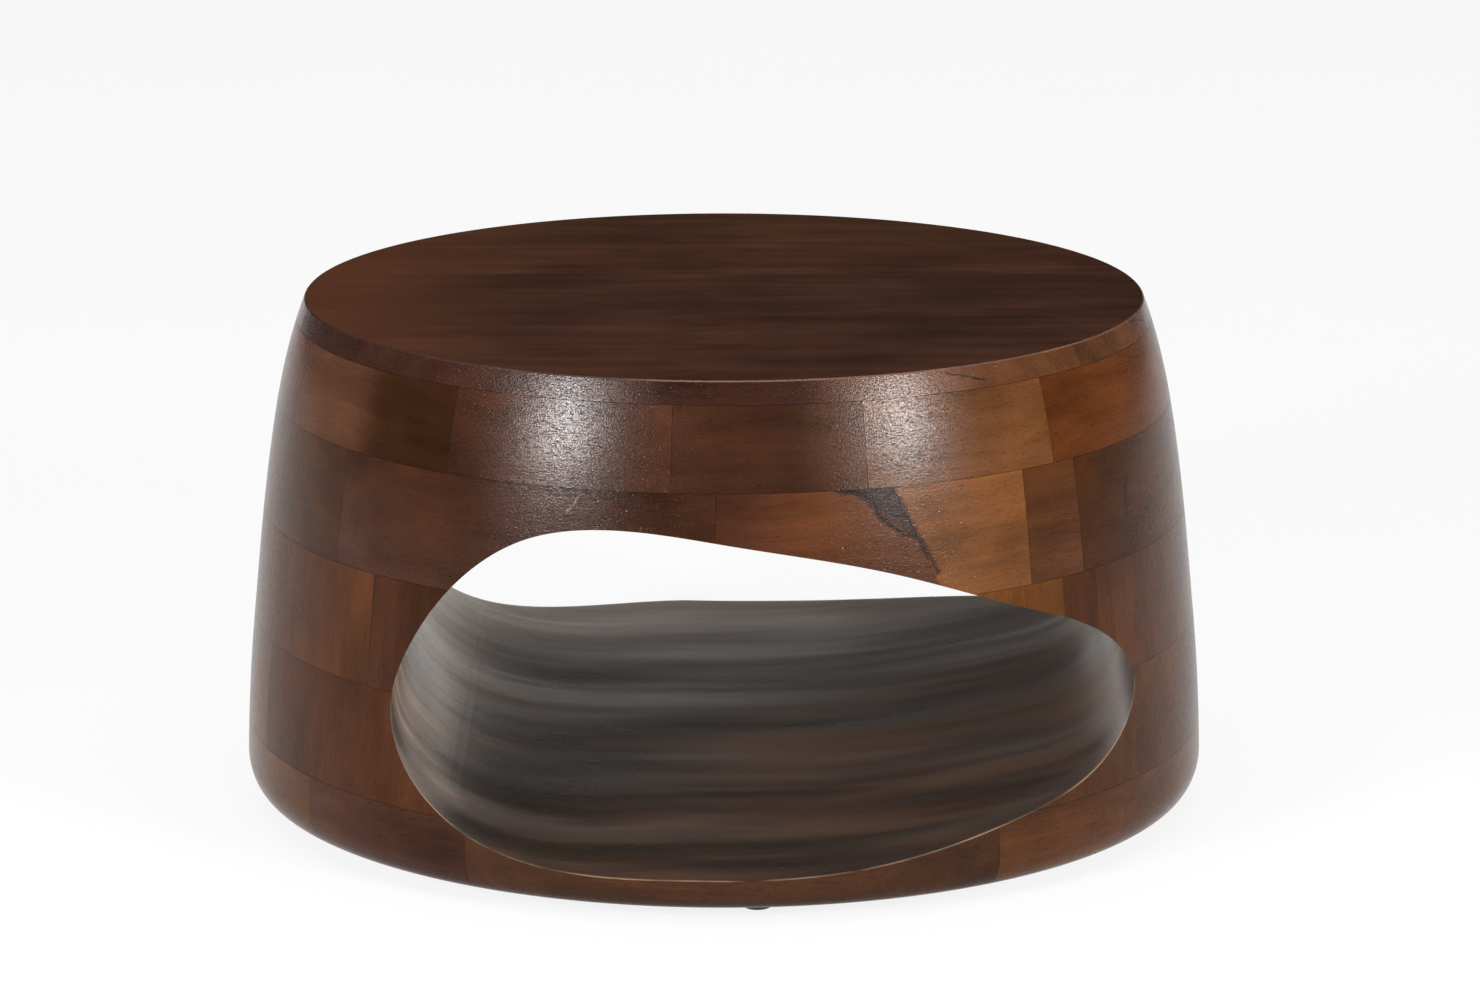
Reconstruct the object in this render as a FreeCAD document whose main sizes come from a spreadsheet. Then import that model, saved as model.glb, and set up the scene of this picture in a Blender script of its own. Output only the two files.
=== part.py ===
import FreeCAD, Part
import math
import os

# Drum table: a round, block-laminated wooden drum with a lopsided tunnel carved through it from front to back.
# Frame: the origin is on the floor under the middle of the drum. +X is right, +Y is away from the viewer, +Z is up.
# Azimuths are in degrees from the front (-Y), positive towards +X.

# Driving sizes, in millimetres
SIZES = {
    # turned outside of the drum
    "body_height": 457,
    "belly_radius": 444.2,
    "belly_height": 32,
    "foot_draw_in": 20,
    "top_radius": 385.3,
    "arris_chamfer": 1.2,
    # courses of the lamination
    "slab_thickness": 20,
    "rim_course": 73,
    "base_course": 64,
    "ring_wall": 80,
    "glue_line": 0.3,
    # tunnel: wood left under its front and rear mouths, and in the arch course over its crown
    "front_mouth_sill": 28.6,
    "rear_mouth_sill": 46.6,
    "crown_cover": 33.4,
    "overrun": 20,
    # battens under the top
    "batten_width": 45,
    "batten_clearance": 13,
    "batten_spacing": 300,
    "batten_end_gap": 25,
    # levelling feet
    "foot_height": 12,
    "foot_inset": 21.8,
    "seat_gap": 0.3,
    "running_fit": 0.08,
    "pad_radius": 14,
    "pad_edge_round": 4,
    "pad_sole": 4,
    "head_radius": 7,
    "head_thickness": 3,
    "stem_radius": 4,
    "stem_reach": 18,
    "insert_radius": 6,
    "insert_length": 16,
    "flange_radius": 9,
    "flange_thickness": 1.5,
    "insert_fit": 0.1,
    "stem_hole_depth": 20,
}

# Azimuths of the upright joints, in degrees, from one block to the next round each course
RIM_JOINT_AZIMUTHS = [-35.8, -6.4, 17.5, 44.4, 79.4, 114.4, 149.3, 184.3, 219.3, 254.3, 289.2, 324.2]
ARCH_JOINT_AZIMUTHS = [-53.6, -1.0, 23.7, 39.0, 48.0, 99.7, 151.4, 203.1, 254.8, 306.4]
BASE_JOINT_AZIMUTHS = [-56.6, -30.5, 32.8, 53.7, 116.0, 160.0, 210.0, 256.0, 303.4]

# The two courses beside the tunnel have blocks on the right and on the left only
UPPER_RIGHT_AZIMUTHS = [25.0, 44.1, 50.1, 98.0, 155.0]
UPPER_LEFT_AZIMUTHS = [205.0, 263.0, 314.0, 335.0]
LOWER_RIGHT_AZIMUTHS = [30.0, 95.0, 160.0]
LOWER_LEFT_AZIMUTHS = [200.0, 246.0, 290.0, 335.0]

# One joint of the arch course leans out of upright by this angle, and its blocks are cut this much longer first
LEANING_JOINT_AZIMUTH = 23.7
LEAN_DEGREES = 23.9
LEAN_ALLOWANCE_DEGREES = 6.0

FOOT_AZIMUTHS = [4.3, 94.3, 184.3, 274.3]

# Joints between the top boards, as shares of the top radius, and between the floor planks, as shares of the
# radius inside the ring of blocks
BOARD_JOINT_SHARES = [-0.6073, -0.2024, 0.2024, 0.6073]
PLANK_JOINT_SHARES = [-0.645, 0.0, 0.645]

# Turned side of the drum above its belly: shares of the way up, and of the way in to the top radius
SIDE_SHARES = [(0.075, 0.019), (0.1935, 0.068), (0.355, 0.175), (0.516, 0.293), (0.677, 0.443), (0.839, 0.654)]

# Outline of the tunnel, seen from the front: shares of its width from its middle, and of its rise from its sill
MOUTH_SHARES = [
    (-0.0875, 0.0), (-0.308, 0.013), (-0.424, 0.102), (-0.485, 0.249), (-0.5, 0.40), (-0.4756, 0.584),
    (-0.415, 0.79), (-0.314, 0.957), (-0.209, 1.0), (-0.0464, 0.9634), (0.1667, 0.8637), (0.3417, 0.714),
    (0.4528, 0.5778), (0.5, 0.385), (0.468, 0.2254), (0.3432, 0.1024), (0.124, 0.016),
]

# Width of each mouth, and how far its middle lies to the right, as shares of the belly radius
FRONT_MOUTH_SHARES = [1.4723, 0.0855]
REAR_MOUTH_SHARES = [1.5308, 0.0664]

doc = FreeCAD.newDocument("drum_table")
sheet = doc.addObject("Spreadsheet::Sheet", "sizes")
for row, (alias, value) in enumerate(SIZES.items(), start=1):
    sheet.set(f"A{row}", alias)
    sheet.set(f"B{row}", str(value))
    sheet.setAlias(f"B{row}", alias)
doc.recompute()

pieces = []


def size(alias):
    """One driving size, read from the sheet."""
    return float(getattr(sheet, alias))


def bind(obj, **expressions):
    """Ties properties of an object to the sheet. A double underscore stands for a dot."""
    for name, expression in expressions.items():
        path = name.replace("__", ".")
        obj.setExpression("." + path if "." in path else path, expression)
    return obj


def piece(obj, label):
    """Marks an object as one finished piece of the table."""
    obj.Label = label
    pieces.append(obj)
    return obj


def cut(name, base, tool):
    result = doc.addObject("Part::Cut", name)
    result.Base = base
    result.Tool = tool
    return result


def common(name, base, tool):
    result = doc.addObject("Part::Common", name)
    result.Base = base
    result.Tool = tool
    return result


def fuse(name, base, tool):
    result = doc.addObject("Part::Fuse", name)
    result.Base = base
    result.Tool = tool
    return result


def shape_feature(name, shape):
    result = doc.addObject("Part::Feature", name)
    result.Shape = shape
    return result


# Heights of the courses above the floor, as expressions on the sheet
BODY_FOOT = "sizes.foot_height"
BODY_TOP = "sizes.foot_height + sizes.body_height"
SLAB_FOOT = f"{BODY_TOP} - sizes.slab_thickness"
RIM_FOOT = f"{SLAB_FOOT} - sizes.rim_course"
LOWER_SIDE_FOOT = f"{BODY_FOOT} + sizes.base_course"

# Between the base course and the rim course, three courses of blocks share the height equally
BLOCK_COURSE = "(sizes.body_height - sizes.slab_thickness - sizes.rim_course - sizes.base_course) / 3"
UPPER_SIDE_FOOT = f"{LOWER_SIDE_FOOT} + {BLOCK_COURSE}"
ARCH_FOOT = f"{RIM_FOOT} - {BLOCK_COURSE}"

# Past the outside of the drum, and the radius inside the ring of blocks at the belly
REACH = "max(sizes.belly_radius; sizes.top_radius) + sizes.overrun"
INNER_RADIUS = "sizes.belly_radius - sizes.ring_wall"


def side_curve(inset):
    """The turned side from the belly to the top arris, moved in by inset."""
    rise = size("body_height") - size("belly_height")
    draw_in = size("belly_radius") - size("top_radius")
    belly = size("foot_height") + size("belly_height")
    points = [FreeCAD.Vector(size("belly_radius") - inset, 0, belly)]
    for up_share, in_share in SIDE_SHARES:
        radius = size("belly_radius") - in_share * draw_in - inset
        points.append(FreeCAD.Vector(radius, 0, belly + up_share * rise))
    top = belly + rise - size("arris_chamfer")
    points.append(FreeCAD.Vector(size("top_radius") - inset, 0, top))
    curve = Part.BSplineCurve()
    curve.interpolate(Points=points)
    return curve.toShape(), points[0], points[-1]


def half_section(name, edges):
    """A flat half section in the XZ plane, from the axis outwards."""
    wire = Part.Wire(Part.sortEdges(edges)[0])
    return shape_feature(name, Part.Face(wire))


def drum_section():
    """The whole outside of the drum: flat underside, rounded foot, bellied side, chamfered top arris."""
    side, belly, shoulder = side_curve(0)
    foot = size("foot_height")
    top = foot + size("body_height")
    ease = size("arris_chamfer")
    base = FreeCAD.Vector(belly.x - size("foot_draw_in"), 0, foot)
    # the foot of the side is a quarter of an ellipse, belly_height tall
    quarter = Part.BezierCurve()
    quarter.setPoles([base, FreeCAD.Vector(belly.x, 0, foot), belly])
    quarter.setWeight(2, math.sqrt(0.5))
    arris_end = FreeCAD.Vector(shoulder.x - ease, 0, top)
    axis_low = FreeCAD.Vector(0, 0, foot)
    axis_high = FreeCAD.Vector(0, 0, top)
    return half_section("drum_section", [
        Part.makeLine(axis_low, base),
        quarter.toShape(),
        side,
        Part.makeLine(shoulder, arris_end),
        Part.makeLine(arris_end, axis_high),
        Part.makeLine(axis_high, axis_low),
    ])


def core_section(name, clearance):
    """The space inside the ring of blocks, drawn in by a clearance."""
    side, belly, shoulder = side_curve(size("ring_wall") + clearance)
    low = FreeCAD.Vector(belly.x, 0, size("foot_height"))
    axis_low = FreeCAD.Vector(0, 0, size("foot_height"))
    axis_high = FreeCAD.Vector(0, 0, shoulder.z)
    return half_section(name, [
        Part.makeLine(axis_low, low),
        Part.makeLine(low, belly),
        side,
        Part.makeLine(shoulder, axis_high),
        Part.makeLine(axis_high, axis_low),
    ])


def mouth_wire(width_share, shift_share, sill_height, place):
    """The closed outline of the tunnel in the plane at y = place."""
    width = width_share * size("belly_radius")
    shift = shift_share * size("belly_radius")
    sill = size("foot_height") + sill_height
    crown = size("foot_height") + size("body_height") - size("slab_thickness") - size("rim_course")
    rise = crown - size("crown_cover") - sill
    points = [FreeCAD.Vector(shift + across * width, place, sill + up * rise) for across, up in MOUTH_SHARES]
    curve = Part.BSplineCurve()
    curve.interpolate(Points=points, PeriodicFlag=True)
    return Part.Wire(curve.toShape())


def tunnel_solid():
    """The tunnel, straight from its front outline to its rear one and past both sides of the drum."""
    reach = max(size("belly_radius"), size("top_radius")) + size("overrun")
    front = mouth_wire(*FRONT_MOUTH_SHARES, size("front_mouth_sill"), -reach)
    rear = mouth_wire(*REAR_MOUTH_SHARES, size("rear_mouth_sill"), reach)
    return Part.makeLoft([front, rear], True, True)


whole_section = drum_section()
ring_section = cut("ring_section", whole_section, core_section("core_section", 0))
inner_section = core_section("inner_section", size("glue_line"))
tunnel = shape_feature("tunnel", tunnel_solid())


def course_section(name, section, low, high):
    """The part of a half section between two heights, a glue line thinner than the course."""
    window = doc.addObject("Part::Plane", f"{name}_window")
    window.Placement.Rotation = FreeCAD.Rotation(FreeCAD.Vector(1, 0, 0), 90)
    bind(
        window,
        Length=REACH,
        Width=f"({high}) - ({low}) - sizes.glue_line",
        Placement__Base__z=f"{low} + sizes.glue_line / 2",
    )
    return common(f"{name}_section", section, window)


def turned(name, section, start, end):
    """A half section turned about the axis from one azimuth to another, a glue line less at the belly."""
    ring = doc.addObject("Part::Revolution", name)
    ring.Source = section
    ring.Axis = FreeCAD.Vector(0, 0, 1)
    ring.Base = FreeCAD.Vector()
    ring.Solid = True
    bind(ring, Angle=f"{end - start} deg - sizes.glue_line / sizes.belly_radius * 1 rad")
    half_joint = math.degrees(size("glue_line") / size("belly_radius")) / 2
    # a turned shape starts at +X, a quarter turn past the front
    spin = FreeCAD.Rotation(FreeCAD.Vector(0, 0, 1), start + half_joint - 90)
    ring.Placement = FreeCAD.Placement(FreeCAD.Vector(), spin)
    return ring


def turned_whole(name, section):
    """A half section turned all the way round."""
    ring = doc.addObject("Part::Revolution", name)
    ring.Source = section
    ring.Axis = FreeCAD.Vector(0, 0, 1)
    ring.Base = FreeCAD.Vector()
    ring.Solid = True
    return ring


def blocks(label, section, joints, first_number=1, cutters=()):
    """Blocks from one joint to the next round a course, each cut by the same cutters."""
    for number, (start, end) in enumerate(zip(joints, joints[1:]), start=first_number):
        form = turned(f"{label}_{number}_turned", section, start, end)
        for step, cutter in enumerate(cutters, start=1):
            form = cut(f"{label}_{number}_cut_{step}", form, cutter)
        piece(form, f"{label}_{number}")


def leaning_half(name, side):
    """A large box whose face lies on the leaning joint, on the side of the joint named by +1 or -1."""
    box = doc.addObject("Part::Box", name)
    bind(box, Length=REACH, Width=REACH, Height="sizes.body_height")
    courses = size("body_height") - size("slab_thickness") - size("rim_course")
    middle = size("foot_height") + courses - (courses - size("base_course")) / 3 / 2
    width = max(size("belly_radius"), size("top_radius")) + size("overrun")
    start = FreeCAD.Vector(0, size("glue_line") / 2, -size("body_height") / 2)
    if side < 0:
        start.y = -width - size("glue_line") / 2
    outward = FreeCAD.Rotation(FreeCAD.Vector(0, 0, 1), LEANING_JOINT_AZIMUTH - 90)
    tilt = FreeCAD.Rotation(FreeCAD.Vector(1, 0, 0), LEAN_DEGREES)
    turn = outward.multiply(tilt)
    box.Placement = FreeCAD.Placement(FreeCAD.Vector(0, 0, middle) + turn.multVec(start), turn)
    return box


def arch_blocks(section):
    """The course that spans the tunnel mouths. Two of its blocks meet at the leaning joint."""
    for number, (start, end) in enumerate(zip(ARCH_JOINT_AZIMUTHS, ARCH_JOINT_AZIMUTHS[1:]), start=1):
        first = start - LEAN_ALLOWANCE_DEGREES if start == LEANING_JOINT_AZIMUTH else start
        last = end + LEAN_ALLOWANCE_DEGREES if end == LEANING_JOINT_AZIMUTH else end
        form = cut(f"arch_block_{number}_cut", turned(f"arch_block_{number}_turned", section, first, last), tunnel)
        if LEANING_JOINT_AZIMUTH in (start, end):
            half = leaning_half(f"arch_block_{number}_half", 1 if start == LEANING_JOINT_AZIMUTH else -1)
            form = common(f"arch_block_{number}_lean", form, half)
        piece(form, f"arch_block_{number}")


def strips(label, source, along, radius, shares, low):
    """Cuts a round layer into straight strips, a glue line apart, with joints at shares of its radius. Along is
    the way that the strips run, and the outermost two reach past the layer."""
    joints = [f"-({REACH})", *(f"({radius}) * {share}" for share in shares), REACH]
    for number, (start, end_joint) in enumerate(zip(joints, joints[1:]), start=1):
        box = doc.addObject("Part::Box", f"{label}_{number}_box")
        place = f"{start} + sizes.glue_line / 2"
        wide = f"({end_joint}) - ({start}) - sizes.glue_line"
        long = f"2 * ({REACH})"
        end = f"-({REACH})"
        across_x = along == "y"
        bind(
            box,
            Length=wide if across_x else long,
            Width=long if across_x else wide,
            Height="sizes.body_height",
            Placement__Base__x=place if across_x else end,
            Placement__Base__y=end if across_x else place,
            Placement__Base__z=low,
        )
        piece(common(f"{label}_{number}_form", source, box), f"{label}_{number}")


def top_battens():
    """Two battens under the top boards, across their grain, in the hollow of the rim course."""
    bars = []
    for side in (-1, 1):
        bar = doc.addObject("Part::Box", "batten_left" if side < 0 else "batten_right")
        reach = "sizes.batten_spacing / 2 + sizes.batten_width / 2"
        hollow = "sizes.top_radius - sizes.ring_wall"
        length = f"2 * (sqrt(pow({hollow}; 2) - pow({reach}; 2)) - sizes.batten_end_gap)"
        bind(
            bar,
            Length="sizes.batten_width",
            Width=length,
            Height="sizes.rim_course - sizes.batten_clearance",
            Placement__Base__x=f"{side} * sizes.batten_spacing / 2 - sizes.batten_width / 2",
            Placement__Base__y=f"-({length}) / 2",
            Placement__Base__z=f"{RIM_FOOT} - sizes.glue_line / 2 + sizes.batten_clearance",
        )
        bars.append(bar)
    piece(gather("top_batten_pair", bars), "top_battens")


def foot_place(obj, azimuth, height):
    """Stands an object at one foot's place, in the ring of blocks."""
    bind(
        obj,
        Placement__Base__x=f"({INNER_RADIUS} + sizes.foot_inset) * sin({azimuth} deg)",
        Placement__Base__y=f"-({INNER_RADIUS} + sizes.foot_inset) * cos({azimuth} deg)",
        Placement__Base__z=height,
    )
    return obj


def upright(name, azimuth, radius, height, low):
    """An upright cylinder at one foot's place."""
    rod = doc.addObject("Part::Cylinder", name)
    bind(rod, Radius=radius, Height=height)
    return foot_place(rod, azimuth, low)


def gather(name, shapes):
    """Separate solids kept side by side in one object."""
    group = doc.addObject("Part::Compound", name)
    group.Links = shapes
    return group


def insert_seats():
    """The bored and counterbored holes that the threaded inserts sit in."""
    seats = []
    for number, azimuth in enumerate(FOOT_AZIMUTHS, start=1):
        bore = upright(
            f"insert_bore_{number}", azimuth, "sizes.insert_radius + sizes.insert_fit",
            "sizes.stem_hole_depth + sizes.overrun", f"{BODY_FOOT} - sizes.overrun",
        )
        recess = upright(
            f"insert_recess_{number}", azimuth, "sizes.flange_radius + sizes.insert_fit",
            "sizes.flange_thickness + sizes.insert_fit + sizes.overrun", f"{BODY_FOOT} - sizes.overrun",
        )
        seats.append(fuse(f"insert_seat_{number}", bore, recess))
    return gather("insert_seats", seats)


def threaded_inserts():
    """Four flanged steel inserts, one solid each, with their flanges flush with the underside."""
    made = []
    for number, azimuth in enumerate(FOOT_AZIMUTHS, start=1):
        barrel = upright(
            f"insert_barrel_{number}", azimuth, "sizes.insert_radius", "sizes.insert_length", BODY_FOOT,
        )
        flange = upright(
            f"insert_flange_{number}", azimuth, "sizes.flange_radius", "sizes.flange_thickness", BODY_FOOT,
        )
        hole = upright(
            f"insert_thread_{number}", azimuth, "sizes.stem_radius + sizes.running_fit",
            "sizes.insert_length + 2 * sizes.overrun", f"{BODY_FOOT} - sizes.overrun",
        )
        made.append(cut(f"insert_{number}", fuse(f"insert_blank_{number}", barrel, flange), hole))
    return piece(gather("threaded_insert_group", made), "threaded_inserts")


def foot_stem(number, azimuth):
    """A steel stem with a flat round head that the pad swivels on."""
    head = upright(
        f"stem_head_{number}", azimuth, "sizes.head_radius", "sizes.head_thickness",
        "sizes.pad_sole + sizes.running_fit",
    )
    shank = upright(
        f"stem_shank_{number}", azimuth, "sizes.stem_radius",
        "sizes.foot_height + sizes.stem_reach - sizes.pad_sole - sizes.running_fit",
        "sizes.pad_sole + sizes.running_fit",
    )
    return piece(fuse(f"stem_{number}", head, shank), f"foot_stem_{number}")


def round_feature(body, kind, name, radius, height, low):
    """A cylinder added to a body or taken from it, about the body's own axis."""
    feature = body.newObject(f"PartDesign::{kind}Cylinder", name)
    return bind(feature, Radius=radius, Height=height, Placement__Base__z=low)


def foot_pad(number, azimuth):
    """A plastic pad, hollow round the head of its stem, with its lower edge rounded."""
    body = doc.addObject("PartDesign::Body", f"pad_{number}")
    round_feature(
        body, "Additive", f"pad_puck_{number}", "sizes.pad_radius", "sizes.foot_height - sizes.seat_gap", "0 mm",
    )
    round_feature(
        body, "Subtractive", f"pad_socket_{number}", "sizes.head_radius + sizes.running_fit",
        "sizes.head_thickness + 2 * sizes.running_fit", "sizes.pad_sole",
    )
    neck = round_feature(
        body, "Subtractive", f"pad_neck_{number}", "sizes.stem_radius + sizes.running_fit",
        "sizes.foot_height", "sizes.pad_sole",
    )
    doc.recompute()
    sole_edge = next(
        index for index, edge in enumerate(neck.Shape.Edges, start=1)
        if edge.Closed and edge.BoundBox.ZMax < size("pad_edge_round") / 2
    )
    ease = body.newObject("PartDesign::Fillet", f"pad_round_{number}")
    ease.Base = (neck, [f"Edge{sole_edge}"])
    bind(ease, Radius="sizes.pad_edge_round")
    body.Tip = ease
    foot_place(body, azimuth, "0 mm")
    return piece(body, f"foot_pad_{number}")


def build_body():
    slab = turned_whole("slab", course_section("slab", whole_section, SLAB_FOOT, f"{BODY_TOP} + sizes.overrun"))
    strips("top_board", slab, "x", "sizes.top_radius", BOARD_JOINT_SHARES, SLAB_FOOT)
    blocks("rim_block", course_section("rim", ring_section, RIM_FOOT, SLAB_FOOT), RIM_JOINT_AZIMUTHS)
    arch_blocks(course_section("arch", ring_section, ARCH_FOOT, RIM_FOOT))
    upper = course_section("upper_side", whole_section, UPPER_SIDE_FOOT, ARCH_FOOT)
    lower = course_section("lower_side", whole_section, LOWER_SIDE_FOOT, UPPER_SIDE_FOOT)
    carved = [tunnel]
    blocks("upper_side_block", upper, UPPER_RIGHT_AZIMUTHS, 1, carved)
    blocks("upper_side_block", upper, UPPER_LEFT_AZIMUTHS, len(UPPER_RIGHT_AZIMUTHS), carved)
    blocks("lower_side_block", lower, LOWER_RIGHT_AZIMUTHS, 1, carved)
    blocks("lower_side_block", lower, LOWER_LEFT_AZIMUTHS, len(LOWER_RIGHT_AZIMUTHS), carved)
    base = course_section("base", ring_section, f"{BODY_FOOT} - sizes.glue_line / 2", LOWER_SIDE_FOOT)
    blocks("base_block", base, BASE_JOINT_AZIMUTHS, 1, [tunnel, insert_seats()])


def build_inside():
    roof = turned_whole("roof", course_section("roof", inner_section, ARCH_FOOT, RIM_FOOT))
    piece(cut("carved_roof", roof, tunnel), "roof_core")
    floor_section = course_section("floor", inner_section, f"{BODY_FOOT} - sizes.glue_line / 2", LOWER_SIDE_FOOT)
    floor = cut("carved_floor", turned_whole("floor", floor_section), tunnel)
    strips("floor_plank", floor, "y", INNER_RADIUS, PLANK_JOINT_SHARES, BODY_FOOT)
    top_battens()


def build_feet():
    threaded_inserts()
    for number, azimuth in enumerate(FOOT_AZIMUTHS, start=1):
        foot_stem(number, azimuth)
        foot_pad(number, azimuth)


def check_and_write():
    """Stops on any object that failed, then writes one file for each piece."""
    doc.recompute()
    for obj in doc.Objects:
        if "Invalid" in obj.State or "Error" in obj.State:
            raise RuntimeError(f"{obj.Name} failed: {obj.State}")
    os.makedirs("parts", exist_ok=True)
    for obj in pieces:
        shape = obj.Shape
        if shape.isNull() or not shape.isValid() or not shape.Solids:
            raise RuntimeError(f"{obj.Label} has no valid solid")
        shape.exportStep(f"parts/{obj.Label}.step")
        print(f"{obj.Label}: {len(shape.Solids)} solid, {shape.Volume / 1000:.1f} cm3")


build_body()
build_inside()
build_feet()
check_and_write()
print(len(pieces), "pieces")
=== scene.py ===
# %% [markdown]
# A round coffee table, turned from a stack of glued wooden blocks, with a lopsided tunnel carved through
# it. The CAD model already holds the exact shape of every block. This script gives each block its wood and
# its marks, and the tunnel its gouge waves and dark stain. Then it sets the table on a pale floor under
# soft studio light. Everything is in metres, in the frame of the CAD model: +X is right, +Y is away from
# the viewer and +Z is up.

import math
from bisect import bisect

import bmesh
import bpy
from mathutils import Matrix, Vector, noise
from mathutils.bvhtree import BVHTree


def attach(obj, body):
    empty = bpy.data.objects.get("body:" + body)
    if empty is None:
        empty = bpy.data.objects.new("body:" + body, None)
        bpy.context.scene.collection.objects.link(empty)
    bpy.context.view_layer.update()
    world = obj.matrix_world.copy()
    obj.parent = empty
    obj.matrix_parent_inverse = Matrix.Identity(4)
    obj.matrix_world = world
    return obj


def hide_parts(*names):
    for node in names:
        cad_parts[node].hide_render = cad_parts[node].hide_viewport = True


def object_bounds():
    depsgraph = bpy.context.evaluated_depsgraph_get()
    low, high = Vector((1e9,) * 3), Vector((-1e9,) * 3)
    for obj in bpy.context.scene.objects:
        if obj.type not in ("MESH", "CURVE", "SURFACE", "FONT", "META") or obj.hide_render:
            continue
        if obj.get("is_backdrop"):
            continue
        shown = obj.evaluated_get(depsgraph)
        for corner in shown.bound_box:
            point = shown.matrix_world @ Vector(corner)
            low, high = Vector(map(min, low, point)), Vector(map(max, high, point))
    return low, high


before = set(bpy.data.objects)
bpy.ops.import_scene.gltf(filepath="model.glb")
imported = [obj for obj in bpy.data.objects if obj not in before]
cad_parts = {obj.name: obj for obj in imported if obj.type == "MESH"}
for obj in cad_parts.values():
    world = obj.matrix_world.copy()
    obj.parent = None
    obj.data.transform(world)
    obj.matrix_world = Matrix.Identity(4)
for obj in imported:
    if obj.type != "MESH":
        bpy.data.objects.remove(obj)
cad_low, cad_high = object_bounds()
MM = 0.001
print("CAD nodes:", len(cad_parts), "size in mm:", [round(v / MM, 1) for v in cad_high - cad_low])

# %% [markdown]
# The camera comes first, because it decides how much detail each surface needs. It stands five metres in
# front of the table and a little above it, with a long lens, so that the round top shows as a flat
# ellipse and the near rim doesn't bulge.

# %% Camera
CAMERA_TILT = 76.402        # degrees up from straight down
camera = bpy.data.objects.new("camera", bpy.data.cameras.new("camera"))
bpy.context.scene.collection.objects.link(camera)
camera.location = (0, -4.934, 1.472)
camera.rotation_euler = (math.radians(CAMERA_TILT), 0, 0)
camera.data.lens = 133.02
camera.data.sensor_width = 36
camera.data.shift_x = 0.0108
bpy.context.scene.camera = camera
print("camera looks down by", round(90 - CAMERA_TILT, 1), "degrees")

# %% [markdown]
# A few small helpers are used by every finish. Colours are written as hex values, as a paint chart gives
# them, and one function turns them into the linear values that the renderer mixes. Another adds one
# shader node with its settings and its links. The last starts a material with the shader that all
# finishes share.

# %% Helpers for the finishes
def linear(hex_colour):
    """An sRGB hex colour as linear red, green, blue and alpha."""
    channels = [int(hex_colour[i:i + 2], 16) / 255 for i in (1, 3, 5)]
    return [c / 12.92 if c <= 0.04045 else ((c + 0.055) / 1.055) ** 2.4 for c in channels] + [1.0]


def shade(colour, factor):
    """A linear colour made darker or lighter by a factor."""
    return [min(1.0, c * factor) for c in colour[:3]] + [1.0]


def add(tree, kind, inputs=None, out=0, stops=None, **settings):
    """Adds one node, and gives the output to link on. An input is a value or another node's output."""
    node = tree.nodes.new(kind)
    for name, value in settings.items():
        setattr(node, name, value)
    if stops:
        ramp = node.color_ramp.elements
        while len(ramp) < len(stops):
            ramp.new(1.0)
        for element, (place, colour) in zip(ramp, stops):
            element.position, element.color = place, colour
    for name, value in (inputs or {}).items():
        if isinstance(value, bpy.types.NodeSocket):
            tree.links.new(value, node.inputs[name])
        else:
            node.inputs[name].default_value = value
    return node.outputs[out]


def new_material(name, specular, ior=1.5):
    """A material with one Principled shader, ready for its colour, roughness and bump."""
    material = bpy.data.materials.new(name)
    material.use_nodes = True
    tree = material.node_tree
    shader = tree.nodes["Principled BSDF"]
    shader.inputs["Specular IOR Level"].default_value = specular
    shader.inputs["IOR"].default_value = ior
    return material, tree, shader

# %% [markdown]
# The blocks are solid acacia with a walnut stain. The eye sees four things in the wood: broad clouds
# where the stain took unevenly, growth bands that run with the grain, fine fibres, and short dark pores.
# All of it is noise in three dimensions, stretched along the grain, so each block looks sawn from one
# piece of wood. The pattern is turned to the middle of its own block, because a real ring is glued from
# straight pieces. The pores are really about a quarter of a millimetre wide, and are drawn coarser here
# so that they show.

# %% Patterns of the wood
CLOUD, BAND, FIBRE, PORE = 150 * MM, 24 * MM, 2.4 * MM, 1.0 * MM
SWAY_LENGTH, SWAY = 220 * MM, 40 * MM
ALONG_X, ALONG_Y, ALONG_Z = (1, 0, 0), (0, 1, 0), (0, 0, 1)
SEED_SHIFT = (0.37, 0.53, 0.29)       # metres from one block's stretch of pattern to the next one's


def stretch(grain, share):
    """Scale for a pattern that is longer along the grain: share is its width over its length."""
    return [share if axis else 1.0 for axis in grain]


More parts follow.
